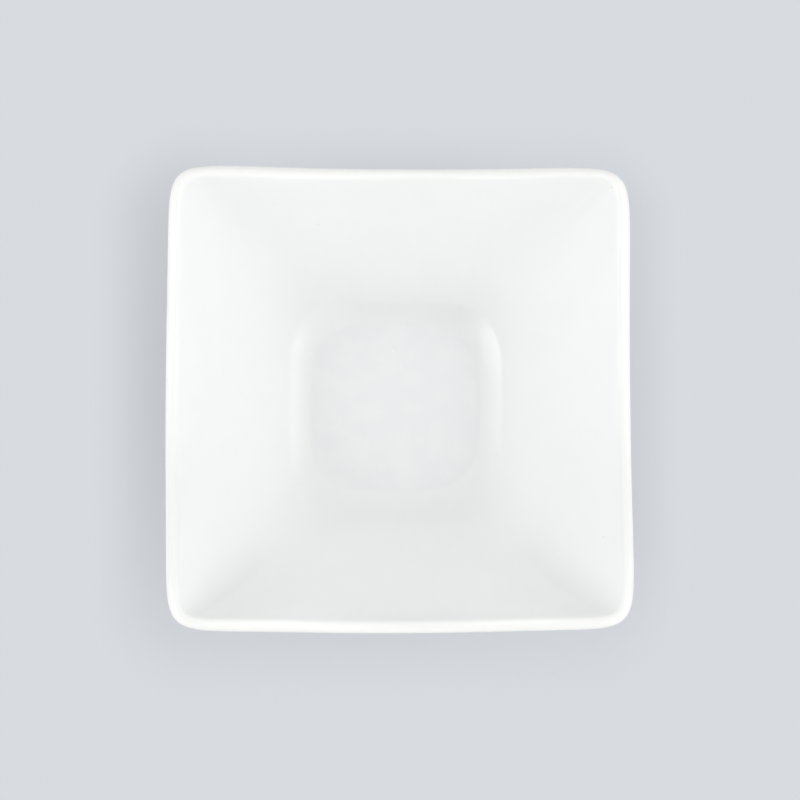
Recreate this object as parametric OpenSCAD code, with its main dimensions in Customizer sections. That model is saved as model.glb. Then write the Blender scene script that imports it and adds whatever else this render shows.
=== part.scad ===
// Square soy sauce dish of glazed white porcelain.
// The corners of the rim stand up and its sides dip between them. The walls slope down to
// a rounded square well, and the dish stands on the bare edge of a foot ring.

/* [Rim] */
// Width across the rim from side to side, measured beside the corners
rim_w = 90; // [75:1:120]
// Height of the raised corners above the table
corner_h = 37; // [28:0.5:44]
// How far the rim dips from the corners to the middle of each side
side_dip = 7.5; // [0:0.5:12]
// How far each side bows out at its middle, seen from above
side_bow = 0.8; // [0:0.1:3]
// Radius of the rim's corners, seen from above
rim_corner_r = 6.7; // [4:0.1:14]
// Thickness of the clay at the rounded lip
lip_t = 2.6; // [1.6:0.1:3.4]

/* [Walls] */
// Thickness of the clay where the walls meet the foot ring
wall_t = 3.2; // [2:0.1:4.5]
// How much steeper the walls stand at the rim than at the well, in degrees
wall_flare = 4; // [0:1:12]
// Radius of the hollow corners at the bottom of the walls, seen from above
wall_corner_r = 14; // [10:0.5:18]

/* [Well] */
// Width of the flat floor
well_w = 33.5; // [26:0.5:44]
// Radius of the floor's corners, seen from above
well_corner_r = 10.5; // [5:0.5:13]
// Radius of the curve that joins the floor to the walls
well_r = 9; // [5:0.5:12]
// Thickness of the clay floor
floor_t = 3.4; // [2:0.1:5]

/* [Foot ring] */
// How far the outside of the foot ring lies beyond the edge of the flat floor
foot_step = 5; // [3:0.5:9]
// Thickness of the foot ring
foot_t = 3; // [2:0.1:5]
// Depth of the hollow inside the foot ring
foot_h = 3; // [1.8:0.1:5]
// Radius of the foot ring's corners, seen from above
foot_corner_r = 15; // [9:0.5:17]
// Radius of the two rounded edges that the dish stands on
foot_edge_r = 0.7; // [0.3:0.1:0.9]
// Radius of the hollows where the foot ring meets the dish
foot_cove_r = 1.1; // [0.5:0.1:1.6]

/* [Glaze] */
// Thickness of the glaze, which stops short of the foot ring's rounded edges
glaze_t = 0.3; // [0.15:0.05:0.5]

/* [Hidden] */

// Points round each ring, and steps along each stretch of the profile
ring_points = 64;
curve_steps = 5;
wall_steps = 7;
lip_steps = 6;
edge_steps = 3;

// How strongly the points of a ring gather at its corners
gather_share = 0.7;
// Powers that shape the rise along the rim, and the tightening of the corners up the walls
rim_power = 3;
corner_power = 2;
// Length of a wall curve's handles as a share of the wall
handle_share = 1 / 3;

// Places of the clay's floor, lip and foot ring in the profile, half the dish wide
floor_z = foot_h + floor_t;
lip_r = lip_t / 2;
lip_center = [rim_w / 2 - glaze_t - lip_r, corner_h - side_dip - glaze_t - lip_r];
foot_out = well_w / 2 + foot_step;
foot_in = foot_out - foot_t;

// Slope of a straight wall that touches the well's curve and the lip, and the flared slopes
well_center = [well_w / 2, floor_z + well_r];
wall_run = lip_center - well_center;
straight_slope = atan2(wall_run.y, wall_run.x) + asin((well_r + lip_r) / norm(wall_run));
well_slope = straight_slope - wall_flare / 2;
rim_slope = straight_slope + wall_flare / 2;

// Ends of the inner and the outer face of the wall
inner_low = well_center + well_r * heading(well_slope - 90);
inner_high = lip_center + lip_r * heading(rim_slope + 90);
outer_high = lip_center + lip_r * heading(rim_slope - 90);
under_wall = inner_low + wall_t * heading(well_slope - 90);
cove_x = foot_out + foot_cove_r;
outer_low_x = cove_x + foot_cove_r * cos(well_slope + 90);
outer_low = [outer_low_x, under_wall.y + (outer_low_x - under_wall.x) * tan(well_slope)];
cove_center = [cove_x, outer_low.y - foot_cove_r * sin(well_slope + 90)];

// Unit vector at an angle, and a value part of the way between two others
function heading(angle) = [cos(angle), sin(angle)];
function mix(a, b, share) = a + (b - a) * share;

// Points of a circular arc, and of a smooth curve that leaves a and meets b along given slopes
function arc(center, r, from, to, steps) =
    [for (i = [0 : steps]) center + r * heading(mix(from, to, i / steps))];
function curve_point(a, a_handle, b_handle, b, t) =
    let (p = mix(a, a_handle, t), q = mix(a_handle, b_handle, t), r = mix(b_handle, b, t))
    mix(mix(p, q, t), mix(q, r, t), t);
function curve(a, a_slope, b, b_slope, steps) =
    let (reach = handle_share * norm(b - a))
    [for (i = [0 : steps])
        curve_point(a, a + reach * heading(a_slope), b - reach * heading(b_slope), b, i / steps)];

// A station of the profile holds its half width, height, corner radius and share of the rise.
// Stretches that run at one offset from an outline keep its corners parallel.
function station(p, corner_r, rise_share) = [p.x, p.y, corner_r, rise_share];
function beside(points, outline_x, outline_r, rise_share) =
    [for (p = points) station(p, outline_r + p.x - outline_x, rise_share)];
function up_wall(points, low_r, high_r) =
    [for (i = [0 : len(points) - 1])
        let (share = i / (len(points) - 1))
        station(points[i], mix(low_r, high_r, pow(share, corner_power)), share)];
function part_of(list, first, last) = [for (i = [first : last]) list[i]];
function turned(list) = [for (i = [len(list) - 1 : -1 : 0]) list[i]];

// The clay's profile, from the floor over the lip to the hollow under the dish
well_curve = [for (i = [0 : curve_steps])
    station(well_center + well_r * heading(mix(0, well_slope, i / curve_steps) - 90),
        mix(well_corner_r, wall_corner_r, i / curve_steps), 0)];
inner_corner_r = rim_corner_r + inner_high.x - lip_center.x - lip_r;
outer_corner_r = rim_corner_r + outer_high.x - lip_center.x - lip_r;
cove_corner_r = foot_corner_r + outer_low.x - foot_out;
inner_wall = up_wall(curve(inner_low, well_slope, inner_high, rim_slope, wall_steps),
    wall_corner_r, inner_corner_r);
outer_wall = turned(up_wall(curve(outer_low, well_slope, outer_high, rim_slope, wall_steps),
    cove_corner_r, outer_corner_r));
lip = beside(arc(lip_center, lip_r, rim_slope + 90, rim_slope - 90, lip_steps),
    lip_center.x + lip_r, rim_corner_r, 1);
outer_cove = arc(cove_center, foot_cove_r, well_slope + 90, 180, edge_steps);
outer_edge = arc([foot_out - foot_edge_r, foot_edge_r], foot_edge_r, 0, -90, edge_steps);
inner_edge = arc([foot_in + foot_edge_r, foot_edge_r], foot_edge_r, -90, -180, edge_steps);
inner_cove = arc([foot_in - foot_cove_r, foot_h - foot_cove_r], foot_cove_r, 0, 90, edge_steps);
bowl = concat(well_curve, part_of(inner_wall, 1, wall_steps), part_of(lip, 1, lip_steps),
    part_of(outer_wall, 1, wall_steps));
foot = beside(concat(part_of(outer_cove, 1, edge_steps), outer_edge, inner_edge, inner_cove),
    foot_out, foot_corner_r, 0);
clay = concat(bowl, foot);

// Stations where the glaze stops on the outside and on the inside of the foot ring
outer_line = len(bowl) + edge_steps;
inner_line = outer_line + 2 * edge_steps + 1;

// A station moved off the clay by a distance, square to the profile
function moved(stations, i, distance) =
    let (before = stations[max(i - 1, 0)],
        after = stations[min(i + 1, len(stations) - 1)],
        run = [after[0] - before[0], after[1] - before[1]],
        out = distance * [-run.y, run.x] / norm(run))
    stations[i] + [out.x, out.y, out.x, 0];
function coated(stations, first, last) =
    [for (i = [first : last]) moved(stations, i, glaze_t)];

// Exponent of the rounded square that reaches as far into its corners as arcs of corner_r would
function squareness(half_w, corner_r) = -ln(2) / ln(1 - (1 - cos(45)) * corner_r / half_w);
// Share of the rise at an angle round the dish: none at the middle of a side, all at a corner
function rise(angle) = pow(abs(sin(2 * angle)), rim_power);
function ring(s) =
    let (power = squareness(s[0], s[2]))
    [for (k = [0 : ring_points - 1])
        let (turn = 360 * k / ring_points,
            angle = turn + gather_share * 45 / PI * sin(4 * turn),
            square_r = s[0] / pow(pow(abs(cos(angle)), power) + pow(abs(sin(angle)), power), 1 / power),
            reach = square_r + side_bow * s[3] * (1 - rise(angle)))
        [reach * cos(angle), reach * sin(angle), s[1] + side_dip * s[3] * rise(angle)]];

// Two triangles between two rings, split along the shorter diagonal
function quad(points, a, b, c, d) =
    norm(points[c] - points[a]) < norm(points[d] - points[b])
        ? [[a, b, c], [a, c, d]]
        : [[a, b, d], [b, c, d]];

// Closed skin through the rings of a list of stations, from an upper to a lower flat end
module loft(stations) {
    last = (len(stations) - 1) * ring_points;
    points = [for (s = stations) each ring(s)];
    upper = [for (k = [ring_points - 1 : -1 : 0]) k];
    lower = [for (k = [0 : ring_points - 1]) last + k];
    sides = [for (row = [0 : ring_points : last - ring_points], k = [0 : ring_points - 1])
        let (next = (k + 1) % ring_points, below = row + ring_points)
        each quad(points, row + k, row + next, below + next, below + k)];
    polyhedron(points, concat([upper, lower], sides));
}

// Fired clay: floor, walls, lip and foot ring in one
module porcelain_body() {
    color("ivory") loft(clay);
}

// Glass over the inside, the lip and the outside, down to its line on the foot ring
module glaze_coat() {
    color("white") loft(concat(coated(clay, 0, outer_line - 1), turned(part_of(clay, 0, outer_line))));
}

// Glass in the hollow inside the foot ring
module underside_glaze() {
    last = len(clay) - 1;
    color("whitesmoke")
        loft(concat(turned(part_of(clay, inner_line, last)), coated(clay, inner_line + 1, last)));
}

porcelain_body();
glaze_coat();
underside_glaze();
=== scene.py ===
import math
from types import SimpleNamespace

import bpy
import numpy as np
from mathutils import Matrix, Vector


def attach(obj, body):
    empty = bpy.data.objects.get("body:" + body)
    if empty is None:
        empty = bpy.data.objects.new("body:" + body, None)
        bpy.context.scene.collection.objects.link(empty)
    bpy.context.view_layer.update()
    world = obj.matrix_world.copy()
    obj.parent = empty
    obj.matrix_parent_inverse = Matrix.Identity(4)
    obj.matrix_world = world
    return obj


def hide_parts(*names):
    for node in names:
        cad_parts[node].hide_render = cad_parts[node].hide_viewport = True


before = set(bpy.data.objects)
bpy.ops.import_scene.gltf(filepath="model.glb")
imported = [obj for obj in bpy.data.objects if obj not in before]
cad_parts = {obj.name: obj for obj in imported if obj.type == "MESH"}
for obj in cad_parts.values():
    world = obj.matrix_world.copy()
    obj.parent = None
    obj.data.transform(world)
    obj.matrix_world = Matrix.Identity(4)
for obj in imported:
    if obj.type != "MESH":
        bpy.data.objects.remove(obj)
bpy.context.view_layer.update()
mm = 0.001  # sizes below are in millimetres unless a note says otherwise, the scene is in metres
print("frame loaded:", ", ".join(sorted(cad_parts)))

# camera, as the photograph was taken: almost straight down, a little from the near left
cameraView = {
    "aim": (-0.243, -0.82, 37.0),  # point on the picture's centre, level with the rim's corners
    "lean": (-0.0448, -0.0757, 1.0),  # direction from the dish to the camera
    "distance": 384.28,
    "lens": 90.0,
    "roll": 0.053,  # degrees
    "nearest": 10.0,  # nothing closer to the camera is drawn
}


def addCamera(view):
    data = bpy.data.cameras.new("camera")
    data.lens = view["lens"]
    data.clip_start = view["nearest"] * mm
    camera = bpy.data.objects.new("camera", data)
    bpy.context.scene.collection.objects.link(camera)
    back = Vector(view["lean"]).normalized()
    side = (Vector((1, 0, 0)) - back * back.x).normalized()
    turned = Matrix((side, back.cross(side), back)).transposed()
    turned = turned @ Matrix.Rotation(math.radians(view["roll"]), 3, "Z")
    place = (Vector(view["aim"]) + back * view["distance"]) * mm
    camera.matrix_world = Matrix.Translation(place) @ turned.to_4x4()
    bpy.context.scene.camera = camera


addCamera(cameraView)
print("camera placed")

# the clay of the dish: its corners are radii as seen from above
dish = {
    "rimWidth": 90.0,  # beside the corners, with glaze of full thickness
    "cornerHeight": 37.0,  # with the same glaze
    "sideDip": 7.5,  # from the rim's corners to the middle of a side
    "sideBow": 0.8,  # how far a side stands out at its middle
    "rimCorner": 6.7,
    "lipThickness": 2.6,
    "wallThickness": 3.2,  # where the walls meet the foot ring
    "wallFlare": 4.0,  # degrees steeper at the rim
    "wallHandle": 1 / 3,  # handles of the wall's curve, as a share of the wall
    "wallCorner": 14.0,  # at the bottom of the walls
    "wellWidth": 33.5,  # of the flat floor
    "wellCorner": 10.5,
    "wellCurve": 9.0,  # radius between the floor and the walls
    "floorThickness": 3.4,
    "footStep": 5.0,  # from the flat floor's edge to the outside of the foot ring
    "footThickness": 3.0,
    "footHeight": 3.0,  # depth of the hollow inside the foot ring
    "footCorner": 15.0,
    "footEdge": 0.7,  # radius of the edges that the dish stands on
    "footCove": 1.1,  # radius where the foot ring meets the dish
    "rimPower": 3.0,  # how suddenly the rim rises to its corners
    "cornerPower": 2.0,  # how late the corners tighten up the walls
    "gather": 0.7,  # how strongly the points of a ring gather at the corners
}

# the glaze on the clay: a stretch is measured along the profile from the lip's top, and its four lengths
# are where it begins, is full, starts to fade and ends
coat = {
    "thickness": 0.3,
    "lipThickness": 0.25,
    "thinStretch": (-4.0, 0.0, 2.3, 6.0),  # runs thin over the lip
    "highlightStretch": (-0.7, -0.2, 2.0, 4.0),  # painted highlight that makes the lip show whiter
    "bead": 0.8,  # length over which the glaze rounds off at its line
    "poolEdge": 0.06,  # height over which the glaze pooled on the floor, with its painted shade, thins out
    "footPool": 1.5,  # and that pooled above the foot ring, also with painted shade
    "footPoolShare": 0.7,  # how much that one shows
}

# how finely the meshes follow the dish: points in a ring, then steps along each stretch of the profile
grid = {
    "ring": 320,
    "floorShares": (0.04, 0.2, 0.4, 0.6, 0.8, 0.93),  # rings on a flat face, as shares of its width
    "well": 18,
    "wall": 40,
    "lip": 24,
    "outerCove": 10,
    "outerSide": 13,
    "footEdge": 8,
    "innerSide": 7,
    "innerCove": 8,
    "sharpAngle": 50.0,  # degrees, from which an edge shows
}


def heading(degrees):
    return np.array([math.cos(math.radians(degrees)), math.sin(math.radians(degrees))])


def arcPoints(center, radius, start, end, steps):
    return [center + radius * heading(start + (end - start) * i / steps) for i in range(steps + 1)]


# smooth curve that leaves low and meets high along their slopes
def curvePoints(low, lowSlope, high, highSlope, handle, steps):
    reach = np.linalg.norm(high - low) * handle
    lowHandle = low + reach * heading(lowSlope)
    highHandle = high - reach * heading(highSlope)
    shares = [i / steps for i in range(steps + 1)]
    return [
        (1 - t) ** 3 * low + 3 * (1 - t) ** 2 * t * lowHandle + 3 * (1 - t) * t**2 * highHandle + t**3 * high
        for t in shares
    ]


# places and slopes on the clay's profile, half the dish wide
def profilePlaces(dish, glazeDepth):
    at = SimpleNamespace()
    at.lipR = dish["lipThickness"] / 2
    lipHeight = dish["cornerHeight"] - dish["sideDip"] - glazeDepth - at.lipR
    at.lipCenter = np.array([dish["rimWidth"] / 2 - glazeDepth - at.lipR, lipHeight])
    at.wellEdge = dish["wellWidth"] / 2
    at.floorZ = dish["footHeight"] + dish["floorThickness"]
    at.wellCenter = np.array([at.wellEdge, at.floorZ + dish["wellCurve"]])
    wallRun = at.lipCenter - at.wellCenter
    touch = math.asin((dish["wellCurve"] + at.lipR) / np.linalg.norm(wallRun))
    straightSlope = math.degrees(math.atan2(wallRun[1], wallRun[0]) + touch)
    at.wellSlope = straightSlope - dish["wallFlare"] / 2
    at.rimSlope = straightSlope + dish["wallFlare"] / 2
    at.innerLow = at.wellCenter + dish["wellCurve"] * heading(at.wellSlope - 90)
    underWall = at.innerLow + dish["wallThickness"] * heading(at.wellSlope - 90)
    at.footOut = at.wellEdge + dish["footStep"]
    at.footIn = at.footOut - dish["footThickness"]
    coveTop = dish["footCove"] * heading(at.wellSlope + 90)
    coveX = at.footOut + dish["footCove"]
    outerLowX = coveX + coveTop[0]
    outerLowZ = underWall[1] + (outerLowX - underWall[0]) * math.tan(math.radians(at.wellSlope))
    at.outerLow = np.array([outerLowX, outerLowZ])
    at.coveCenter = np.array([coveX, outerLowZ - coveTop[1]])
    return at


# a station of the profile holds its half width, height, corner radius and share of the rise
def beside(points, outlineX, outlineR, rise):
    return [(x, z, outlineR + x - outlineX, rise) for x, z in points]


def upWall(points, lowR, highR, power):
    shares = np.linspace(0, 1, len(points))
    return [(x, z, lowR + (highR - lowR) * s**power, s) for (x, z), s in zip(points, shares)]


# from the middle of the floor over the lip and down the outside
def bowlStations(dish, grid, at):
    flat = [(at.wellEdge * s, at.floorZ, dish["wellCorner"] * s, 0) for s in grid["floorShares"]]
    wellArc = arcPoints(at.wellCenter, dish["wellCurve"], -90, at.wellSlope - 90, grid["well"])
    widening = dish["wallCorner"] - dish["wellCorner"]
    well = [(x, z, dish["wellCorner"] + widening * i / grid["well"], 0) for i, (x, z) in enumerate(wellArc)]
    rimX = at.lipCenter[0] + at.lipR
    innerHigh = at.lipCenter + at.lipR * heading(at.rimSlope + 90)
    outerHigh = at.lipCenter + at.lipR * heading(at.rimSlope - 90)
    innerR = dish["rimCorner"] + innerHigh[0] - rimX
    outerR = dish["rimCorner"] + outerHigh[0] - rimX
    coveR = dish["footCorner"] + at.outerLow[0] - at.footOut
    handle, wallSteps = dish["wallHandle"], grid["wall"]
    innerCurve = curvePoints(at.innerLow, at.wellSlope, innerHigh, at.rimSlope, handle, wallSteps)
    outerCurve = curvePoints(at.outerLow, at.wellSlope, outerHigh, at.rimSlope, handle, wallSteps)
    lipArc = arcPoints(at.lipCenter, at.lipR, at.rimSlope + 90, at.rimSlope - 90, grid["lip"])
    inner = upWall(innerCurve, dish["wallCorner"], innerR, dish["cornerPower"])
    lip = beside(lipArc, rimX, dish["rimCorner"], 1)
    outer = upWall(outerCurve, coveR, outerR, dish["cornerPower"])[::-1]
    return flat + well + inner[1:] + lip[1:] + outer[1:]


# the foot ring in three stretches: glazed outside, bare edges that it stands on, glazed inside
def footStations(dish, grid, at):
    cove, edge = dish["footCove"], dish["footEdge"]
    innerCoveZ = dish["footHeight"] - cove
    outerCove = arcPoints(at.coveCenter, cove, at.wellSlope + 90, 180, grid["outerCove"])
    outerHeights = np.linspace(at.coveCenter[1], edge, grid["outerSide"] + 1)
    outerSide = [np.array([at.footOut, z]) for z in outerHeights]
    outerEdge = arcPoints(np.array([at.footOut - edge, edge]), edge, 0, -90, grid["footEdge"])
    innerEdge = arcPoints(np.array([at.footIn + edge, edge]), edge, -90, -180, grid["footEdge"])
    innerHeights = np.linspace(edge, innerCoveZ, grid["innerSide"] + 1)
    innerSide = [np.array([at.footIn, z]) for z in innerHeights]
    innerCove = arcPoints(np.array([at.footIn - cove, innerCoveZ]), cove, 0, 90, grid["innerCove"])
    stretches = (outerCove[1:] + outerSide[1:], outerEdge[1:] + innerEdge, innerSide[1:] + innerCove[1:])
    return [beside(points, at.footOut, dish["footCorner"], 0) for points in stretches]


# all stations, and the numbers of the two at which the glaze stops, outside and inside the foot ring
def clayProfile(dish, coat, grid):
    at = profilePlaces(dish, coat["thickness"])
    bowl = bowlStations(dish, grid, at)
    outside, bare, inside = footStations(dish, grid, at)
    hollowX, hollowR = inside[-1][0], inside[-1][2]
    hollow = [(hollowX * s, dish["footHeight"], hollowR * s, 0) for s in grid["floorShares"][::-1]]
    outerLine = len(bowl) + len(outside) - 1
    innerLine = outerLine + len(bare)
    return np.array(bowl + outside + bare + inside + hollow), outerLine, innerLine


# the same stations, moved out of the clay by the thickness of the glaze
def coated(stations, thickness):
    before = np.vstack([stations[:1], stations[:-1]])
    after = np.vstack([stations[1:], stations[-1:]])
    run = (after - before)[:, :2]
    out = np.stack([-run[:, 1], run[:, 0]], 1) / np.linalg.norm(run, axis=1)[:, None] * thickness[:, None]
    moved = stations.copy()
    moved[:, :2] += out
    moved[:, 2] += out[:, 0]
    return moved


# length along the profile, counted from one of its stations
def lengthFrom(stations, start):
    steps = np.linalg.norm(np.diff(stations[:, :2], axis=0), axis=1)
    along = np.concatenate([[0], np.cumsum(steps)])
    return along - along[start]


def lipTop(stations):
    return int(np.argmax(stations[:, 1]))


def stretchShare(stations, stretch):
    return np.interp(lengthFrom(stations, lipTop(stations)), stretch, (0, 1, 1, 0))


# thickness of the glaze, which ends in a rounded bead at its line
def glazeThickness(stations, line, coat):
    beadShare = np.clip(np.abs(lengthFrom(stations, line)) / coat["bead"], 0, 1)
    thinning = stretchShare(stations, coat["thinStretch"]) * (1 - coat["lipThickness"] / coat["thickness"])
    return coat["thickness"] * np.sqrt(1 - (1 - beadShare) ** 2) * (1 - thinning)


# marks for the glaze's colours: pooled glaze with painted shade in the well and above the foot ring, and a
# painted highlight at the lip
def glazeMarks(stations, dish, coat):
    level = stations[:, 1] - dish["footHeight"] - dish["floorThickness"]
    inside = np.arange(len(stations)) < lipTop(stations)
    onFloor = np.clip(1 - level / coat["poolEdge"], 0, 1)
    aboveFoot = np.clip(1 - np.abs(level / coat["footPool"] + 1), 0, 1)
    poolAndShade = np.where(inside, onFloor, coat["footPoolShare"] * aboveFoot)
    return {"lip": stretchShare(stations, coat["highlightStretch"]), "poolAndShade": poolAndShade}


# points of the rings, in metres: each is a rounded square that rises towards its corners
def ringPoints(stations, dish, count):
    turn = np.arange(count) * 2 * math.pi / count
    angle = turn + dish["gather"] / 4 * np.sin(4 * turn)
    halfWidth, height, cornerR, riseShare = (stations[:, i, None] for i in range(4))
    power = -math.log(2) / np.log(1 - (1 - math.cos(math.pi / 4)) * cornerR / halfWidth)
    rise = np.abs(np.sin(2 * angle)) ** dish["rimPower"]
    across = np.abs(np.cos(angle)) ** power + np.abs(np.sin(angle)) ** power
    reach = halfWidth / across ** (1 / power) + dish["sideBow"] * riseShare * (1 - rise)
    level = height + dish["sideDip"] * riseShare * rise
    return np.stack([reach * np.cos(angle), reach * np.sin(angle), level], 2) * mm


# closed mesh through rings of points, with a flat cap at each end
def addSkin(name, rings, marks, sharpAngle):
    rows, count = rings.shape[:2]
    corner = np.arange(rows * count).reshape(rows, count)
    nextCorner = np.roll(corner, -1, axis=1)
    quads = np.stack([corner[:-1], corner[1:], nextCorner[1:], nextCorner[:-1]], 2).reshape(-1, 4).tolist()
    caps = [corner[0].tolist(), corner[-1][::-1].tolist()]
    mesh = bpy.data.meshes.new(name)
    mesh.from_pydata(rings.reshape(-1, 3).tolist(), [], quads + caps)
    for mark, values in marks.items():
        attribute = mesh.attributes.new(mark, "FLOAT", "POINT")
        attribute.data.foreach_set("value", np.repeat(values, count).astype(np.float32))
    mesh.validate()
    mesh.shade_smooth()
    mesh.set_sharp_from_angle(angle=math.radians(sharpAngle))
    piece = bpy.data.objects.new(name, mesh)
    bpy.context.scene.collection.objects.link(piece)
    return piece


# sRGB hex to linear light
def linear(hexColor):
    parts = [int(hexColor[i : i + 2], 16) / 255 for i in (1, 3, 5)]
    return [c / 12.92 if c <= 0.04045 else ((c + 0.055) / 1.055) ** 2.4 for c in parts] + [1]


# one node with its settings, and its inputs by name or number, each a plain value or another node's output
def addNode(tree, kind, inputs, **settings):
    node = tree.nodes.new("ShaderNode" + kind)
    for name, value in settings.items():
        setattr(node, name, value)
    for socket, value in inputs.items():
        if isinstance(value, bpy.types.NodeSocket):
            tree.links.new(value, node.inputs[socket])
        else:
            node.inputs[socket].default_value = value
    return node


def newMaterial(name):
    material = bpy.data.materials.new(name)
    material.use_nodes = True
    tree = material.node_tree
    return material, tree, tree.nodes["Principled BSDF"]


# clear glaze over white porcelain: glossy and all but even, cooler where it pools, with painted shade there,
# a painted highlight at the lip, two painted glints on the floor and the few specks that the kiln left in it
glazeLook = {
    "white": "#f3f5f4",
    "shade": "#f2f3f3",  # clouds in the coat
    # cool tint of pooled glaze, made darker as painted shade on the well's floor and above the foot ring
    "pooledAndShaded": "#f0f1f2",
    # painted highlight: the lip drawn whiter than the glaze, as if lit
    "lip": "#fbfbf9",
    "wallClouds": 0.3,  # share of the clouds that shows on the walls
    "cloudSize": 5.0,
    "cloudDetail": 3.0,
    "cloudRange": (0.35, 0.65),  # of the noise, from clear to full
    "rippleSize": 7.0,
    "rippleDetail": 1.0,
    "rippleDepth": 0.006,
    "peelSize": 1.6,  # drawn coarser than real orange peel, which the picture would not resolve
    "peelDetail": 2.0,
    "peelDepth": 0.0006,
    "spotCore": 1 / 3,  # share of a spot's radius that has its full colour
    "roughness": 0.05,
    "ior": 1.5,
}
# specks that the kiln left in the glaze, then two painted glints on the well's floor
glazeSpecksAndGlints = [
    {"at": (41.14, 40.79, 36.47), "radius": 0.32, "color": "#e5e5e2"},  # pinhole on the far right corner
    {"at": (-15.86, 35.39, 23.37), "radius": 0.26, "color": "#e6e6e2"},
    {"at": (39.65, -27.03, 31.28), "radius": 0.26, "color": "#e6e6e2"},
    {"at": (-0.42, 11.57, 6.7), "radius": 0.3, "color": "#fafbfa"},  # painted glints on the floor's glaze
    {"at": (1.44, 8.45, 6.7), "radius": 0.25, "color": "#fafbfa"},
]


def glazedPorcelain(look, spots):
    material, tree, shader = newMaterial("clear glaze on white porcelain")
    point = addNode(tree, "TexCoord", {}).outputs["Object"]
    poolAndShade = addNode(tree, "Attribute", {}, attribute_name="poolAndShade").outputs["Fac"]
    lip = addNode(tree, "Attribute", {}, attribute_name="lip").outputs["Fac"]
    noise = {}
    for name in ("cloud", "ripple", "peel"):
        grain = {"Vector": point, "Scale": 1 / (look[name + "Size"] * mm), "Detail": look[name + "Detail"]}
        noise[name] = addNode(tree, "TexNoise", grain).outputs["Fac"]
    clear, full = look["cloudRange"]
    clouds = {"Value": noise["cloud"], "From Min": clear, "From Max": full}
    cloudy = addNode(tree, "MapRange", clouds, interpolation_type="SMOOTHSTEP").outputs[0]
    walls = look["wallClouds"]
    shown = addNode(tree, "Math", {0: poolAndShade, 1: 1 - walls, 2: walls}, operation="MULTIPLY_ADD").outputs[0]
    shade = addNode(tree, "Math", {0: cloudy, 1: shown}, operation="MULTIPLY").outputs[0]
    # layers over the white: pooled tint with painted shade, random clouds, a painted highlight at the lip,
    # then specks and painted glints
    layers = [(poolAndShade, look["pooledAndShaded"]), (shade, look["shade"]), (lip, look["lip"])]
    for spot in spots:
        ends = {0: point, 1: Vector(spot["at"]) * mm}
        distance = addNode(tree, "VectorMath", ends, operation="DISTANCE").outputs["Value"]
        radius = spot["radius"] * mm
        fade = {"Value": distance, "From Min": radius, "From Max": radius * look["spotCore"]}
        layers.append((addNode(tree, "MapRange", fade).outputs[0], spot["color"]))
    color = linear(look["white"])
    # a Mix node takes its two colours at its inputs 6 and 7, and gives the mixed one at its output 2
    for share, hexColor in layers:
        color = addNode(tree, "Mix", {0: share, 6: color, 7: linear(hexColor)}, data_type="RGBA").outputs[2]
    tree.links.new(color, shader.inputs["Base Color"])
    ripple = {"Height": noise["ripple"], "Strength": 1.0, "Distance": look["rippleDepth"] * mm}
    rippled = addNode(tree, "Bump", ripple).outputs["Normal"]
    peel = {"Height": noise["peel"], "Normal": rippled, "Strength": 1.0, "Distance": look["peelDepth"] * mm}
    tree.links.new(addNode(tree, "Bump", peel).outputs["Normal"], shader.inputs["Normal"])
    shader.inputs["Roughness"].default_value = look["roughness"]
    shader.inputs["IOR"].default_value = look["ior"]
    return material


# bare clay under the foot: dry, ivory, finely sandy, greyed where it rubs on the table
bisqueLook = {
    "ivory": "#e9e3d5",
    "rubbed": "#d6d0c3",
    "grainSize": 0.35,  # drawn coarser than real grain, so that it shows
    "grainDetail": 3.0,
    "grainDepth": 0.05,
    "rubSize": 5.0,
    "rubDetail": 4.0,
    "rubRange": (0.2, 0.36),  # of grain and rub together, from clean to grey
    "roughness": 0.75,
}


def barePorcelain(look):
    material, tree, shader = newMaterial("bare porcelain bisque")
    point = addNode(tree, "TexCoord", {}).outputs["Object"]
    noise = {}
    for name in ("grain", "rub"):
        grain = {"Vector": point, "Scale": 1 / (look[name + "Size"] * mm), "Detail": look[name + "Detail"]}
        noise[name] = addNode(tree, "TexNoise", grain).outputs["Fac"]
    both = addNode(tree, "Math", {0: noise["grain"], 1: noise["rub"]}, operation="MULTIPLY").outputs[0]
    clean, grey = look["rubRange"]
    rubbed = addNode(tree, "MapRange", {"Value": both, "From Min": clean, "From Max": grey}).outputs[0]
    colors = {0: rubbed, 6: linear(look["ivory"]), 7: linear(look["rubbed"])}
    tree.links.new(addNode(tree, "Mix", colors, data_type="RGBA").outputs[2], shader.inputs["Base Color"])
    sand = {"Height": noise["grain"], "Strength": 1.0, "Distance": look["grainDepth"] * mm}
    tree.links.new(addNode(tree, "Bump", sand).outputs["Normal"], shader.inputs["Normal"])
    shader.inputs["Roughness"].default_value = look["roughness"]
    return material


glaze = glazedPorcelain(glazeLook, glazeSpecksAndGlints)
bisque = barePorcelain(bisqueLook)
print("glaze and bisque made")

# each coat of glaze is closed by the clay's own face under it
clay, outerLine, innerLine = clayProfile(dish, coat, grid)
outerGlaze = coated(clay, glazeThickness(clay, outerLine, coat))
innerGlaze = coated(clay, glazeThickness(clay, innerLine, coat))
mainSkin = np.vstack([outerGlaze[:outerLine], clay[outerLine::-1]])
underSkin = np.vstack([clay[:innerLine:-1], innerGlaze[innerLine:]])
marks = glazeMarks(clay, dish, coat)
mainMarks = {mark: np.concatenate([v[:outerLine], v[outerLine::-1]]) for mark, v in marks.items()}
pieces = [
    ("glazeCoat", mainSkin, mainMarks, glaze, "glaze", "glaze_coat"),
    ("underGlaze", underSkin, {}, glaze, "glaze", "underside_glaze"),
    ("porcelainBody", clay, {}, bisque, "porcelain", "porcelain_body"),
]
for name, stations, skinMarks, material, slot, node in pieces:
    rings = ringPoints(stations, dish, grid["ring"])
    piece = addSkin(name, rings, skinMarks, grid["sharpAngle"])
    piece.data.materials.append(material)
    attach(piece, "root")
    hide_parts(node)
print("dish built:", len(clay), "stations")

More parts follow.
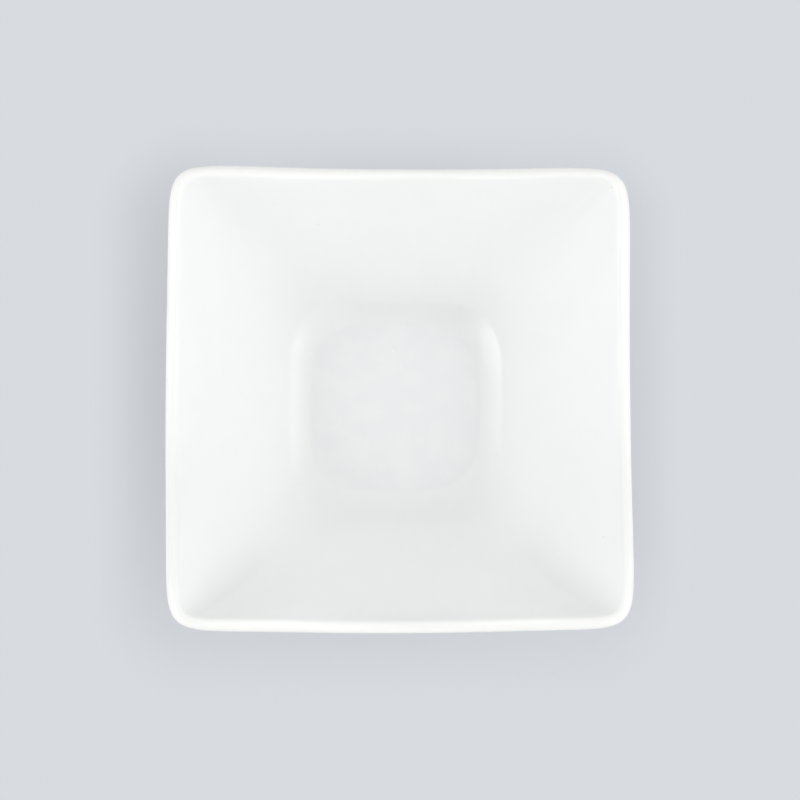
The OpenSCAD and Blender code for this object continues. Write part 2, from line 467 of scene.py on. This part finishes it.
# painted board under the dish: matte, pale and plain, so that it shows only the dish's shadow
board = {
    "size": 6.0,  # metres
    "color": "#d2d5da",
    "seen": "#d8dbe0",  # as it shows where its painted glow hides all shadow
    "roughness": 0.9,
    "specular": 0.1,
    "glow": (0.28, 1.0),  # share of that plain look, a painted glow over the real shadow, beside the dish and away from it
    "shadowCenter": (-1.0, 0.0, 0.0),
    "shadowHalf": 40.0,  # half width of the square that the shadow surrounds
    "shadowReach": (7.0, 23.0),  # from that square to where the painted glow starts to grow over the shadow, and hides it all
}


def paleBoard(board):
    material, tree, shader = newMaterial("matte pale board")
    shader.inputs["Base Color"].default_value = linear(board["color"])
    shader.inputs["Roughness"].default_value = board["roughness"]
    shader.inputs["Specular IOR Level"].default_value = board["specular"]
    # the plain look is for the camera, mirror images and views through glass, not for the light on the dish
    path = addNode(tree, "LightPath", {}).outputs
    seen = path["Is Camera Ray"]
    for ray in ("Is Glossy Ray", "Is Transmission Ray"):
        seen = addNode(tree, "Math", {0: seen, 1: path[ray]}, operation="MAXIMUM").outputs[0]
    # it comes back with the distance from the shadow's square, as painted light that hides the dish's wide,
    # faint shadow
    center = Vector(board["shadowCenter"]) * mm
    half = Vector((board["shadowHalf"], board["shadowHalf"], 0)) * mm
    point = addNode(tree, "TexCoord", {}).outputs["Object"]
    offset = addNode(tree, "VectorMath", {0: point, 1: center}, operation="SUBTRACT").outputs["Vector"]
    aside = addNode(tree, "VectorMath", {0: offset}, operation="ABSOLUTE").outputs["Vector"]
    past = addNode(tree, "VectorMath", {0: aside, 1: half}, operation="SUBTRACT").outputs["Vector"]
    outside = addNode(tree, "VectorMath", {0: past, 1: (0, 0, 0)}, operation="MAXIMUM").outputs["Vector"]
    outward = addNode(tree, "VectorMath", {0: outside}, operation="LENGTH").outputs["Value"]
    fadeStart, fadeEnd = board["shadowReach"]
    glowNear, glowFar = board["glow"]
    fade = {"Value": outward, "From Min": fadeStart * mm, "From Max": fadeEnd * mm}
    fade.update({"To Min": glowNear, "To Max": glowFar})
    glowing = addNode(tree, "MapRange", fade, interpolation_type="SMOOTHSTEP").outputs[0]
    share = addNode(tree, "Math", {0: seen, 1: glowing}, operation="MULTIPLY").outputs[0]
    glow = addNode(tree, "Emission", {"Color": linear(board["seen"]), "Strength": 1.0}).outputs[0]
    both = addNode(tree, "MixShader", {0: share, 1: shader.outputs[0], 2: glow}).outputs[0]
    tree.links.new(both, tree.nodes["Material Output"].inputs["Surface"])
    return material


def addFloor(board):
    mesh = bpy.data.meshes.new("tableTop")
    half = board["size"] / 2
    corners = [(-half, -half, 0), (half, -half, 0), (half, half, 0), (-half, half, 0)]
    mesh.from_pydata(corners, [], [(0, 1, 2, 3)])
    floor = bpy.data.objects.new("tableTop", mesh)
    bpy.context.scene.collection.objects.link(floor)
    floor.data.materials.append(paleBoard(board))


# white tent around the board, lit through its two sides, open in front and, above, for the camera
tent = {
    "level": 1.785,
    "sides": 0.02,  # how much brighter it is towards both sides, then the right, the front and the top
    "right": 0.06,
    "front": 0.47,
    "top": -1.0,
    "foot": 1.44,  # how much darker it is along its foot
    "footSides": -0.59,  # share by which that grows towards both sides, then the right and the front
    "footRight": 0.06,
    "footFront": 0.17,
    "footHeight": 0.67,  # sine of the elevation at which the dark foot ends
    "seam": 0.01,  # width over which a side or the front begins
}
# patches of the tent, as slopes seen from the dish: each edge fades in from its first slope to its second,
# and the lower edge of a panel climbs towards the front
panels = [
    {
        "side": -1.0,
        "light": 2.6,
        "far": (-0.22, 0.1),
        "near": (0.78, 0.5),
        "low": (0.18, 0.3),
        "climb": 0.5,
        "high": (3.27, -0.73),
    },
    {
        "side": 1.0,
        "light": 1.75,
        "far": (-0.7, 0.2),
        "near": (0.8, 0.3),
        "low": (0.26, 0.46),
        "climb": 0.3,
        "high": (3.35, -0.65),
    },
]
opening = {"left": (-1.24, -0.34), "right": (0.63, -0.1), "low": (0.45, 0.49), "depth": 1.0}
cameraHole = {"toward": (-0.125, -0.084, 1.0), "reach": (0.214, 0.179), "depth": 0.67}


# light of a patch: its strength, faded over each of its edges
def addPatch(tree, strength, edges):
    for value, (outer, inner) in edges:
        fade = {"Value": value, "From Min": outer, "From Max": inner}
        inside = addNode(tree, "MapRange", fade, interpolation_type="SMOOTHSTEP").outputs[0]
        strength = addNode(tree, "Math", {0: strength, 1: inside}, operation="MULTIPLY").outputs[0]
    return strength


def addTent(tent, panels, opening, hole):
    world = bpy.data.worlds.new("whiteTent")
    bpy.context.scene.world = world
    world.use_nodes = True
    tree = world.node_tree
    direction = addNode(tree, "TexCoord", {}).outputs["Generated"]
    x, y, z = addNode(tree, "SeparateXYZ", {0: direction}).outputs
    aside = addNode(tree, "Math", {0: x}, operation="ABSOLUTE").outputs[0]
    front = addNode(tree, "Math", {0: y, 1: -1.0}, operation="MULTIPLY").outputs[0]
    # the cloth, darker along its foot
    light = tent["level"]
    cloth = ((aside, tent["sides"]), (x, tent["right"]), (front, tent["front"]), (z, tent["top"]))
    for value, share in cloth:
        light = addNode(tree, "Math", {0: value, 1: share, 2: light}, operation="MULTIPLY_ADD").outputs[0]
    fade = {"Value": z, "From Min": tent["footHeight"], "From Max": 0.0, "To Max": -tent["foot"]}
    foot = addNode(tree, "MapRange", fade, interpolation_type="SMOOTHSTEP").outputs[0]
    depth = 1.0
    for value, share in ((aside, tent["footSides"]), (x, tent["footRight"]), (front, tent["footFront"])):
        depth = addNode(tree, "Math", {0: value, 1: share, 2: depth}, operation="MULTIPLY_ADD").outputs[0]
    light = addNode(tree, "Math", {0: foot, 1: depth, 2: light}, operation="MULTIPLY_ADD").outputs[0]
    # the panels of its sides
    nearer = addNode(tree, "Math", {0: front, 1: aside}, operation="DIVIDE").outputs[0]
    higher = addNode(tree, "Math", {0: z, 1: aside}, operation="DIVIDE").outputs[0]
    for panel in panels:
        climb = {0: nearer, 1: -panel["climb"], 2: higher}
        climbed = addNode(tree, "Math", climb, operation="MULTIPLY_ADD").outputs[0]
        edges = [
            (x, (0.0, tent["seam"] * panel["side"])),
            (nearer, panel["far"]),
            (nearer, panel["near"]),
            (climbed, panel["low"]),
            (higher, panel["high"]),
        ]
        patch = addPatch(tree, panel["light"], edges)
        light = addNode(tree, "Math", {0: light, 1: patch}, operation="ADD").outputs[0]
    # the dark opening in front and the camera's hole
    across = addNode(tree, "Math", {0: x, 1: front}, operation="DIVIDE").outputs[0]
    above = addNode(tree, "Math", {0: z, 1: front}, operation="DIVIDE").outputs[0]
    openEdges = [
        (front, (0.0, tent["seam"])),
        (across, opening["left"]),
        (across, opening["right"]),
        (above, opening["low"]),
    ]
    toward = Vector(hole["toward"]).normalized()
    distance = addNode(tree, "VectorMath", {0: direction, 1: toward}, operation="DISTANCE").outputs["Value"]
    for darkness, edges in ((opening["depth"], openEdges), (hole["depth"], [(distance, hole["reach"])])):
        shade = addPatch(tree, darkness, edges)
        kept = addNode(tree, "Math", {0: 1.0, 1: shade}, operation="SUBTRACT").outputs[0]
        light = addNode(tree, "Math", {0: light, 1: kept}, operation="MULTIPLY").outputs[0]
    tree.links.new(light, tree.nodes["Background"].inputs["Strength"])
    tree.nodes["Background"].inputs["Color"].default_value = (1, 1, 1, 1)


addFloor(board)
addTent(tent, panels, opening, cameraHole)
bpy.context.scene.view_settings.view_transform = "Standard"
print("studio lit")
